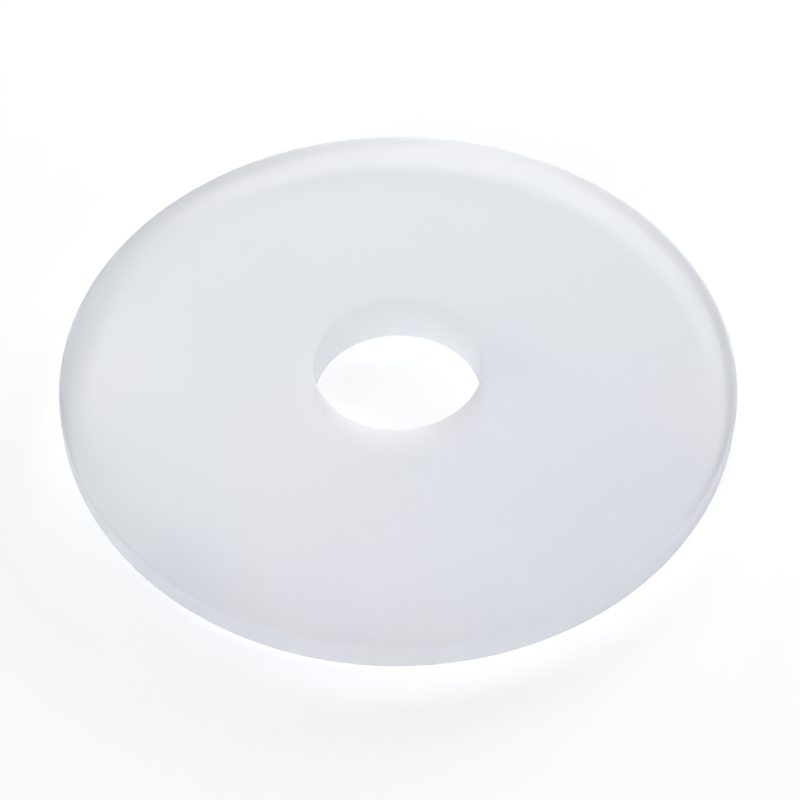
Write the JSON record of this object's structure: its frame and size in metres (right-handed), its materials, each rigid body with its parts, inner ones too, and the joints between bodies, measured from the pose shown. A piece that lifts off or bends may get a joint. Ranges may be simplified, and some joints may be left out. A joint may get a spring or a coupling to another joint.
{
  "type": "rubber washer",
  "caption": "Flat disc washer of translucent silicone rubber with a small round bore at its centre, for sealing or cushioning under a bolt head or nut.",
  "frame": {"origin": "centre of the lower flat face, on the bore's axis", "axes": "+Z along the washer's axis, from the face with the rounded rim up to the face that rolls off a little at its rim"},
  "size_m": [0.04, 0.04, 0.0032],
  "materials": {
    "silicone_rubber": "translucent, pale bluish white, smooth moulded with a satin sheen"
  },
  "bodies": {
    "root": {"washer": "silicone_rubber"}
  },
  "joints": []
}
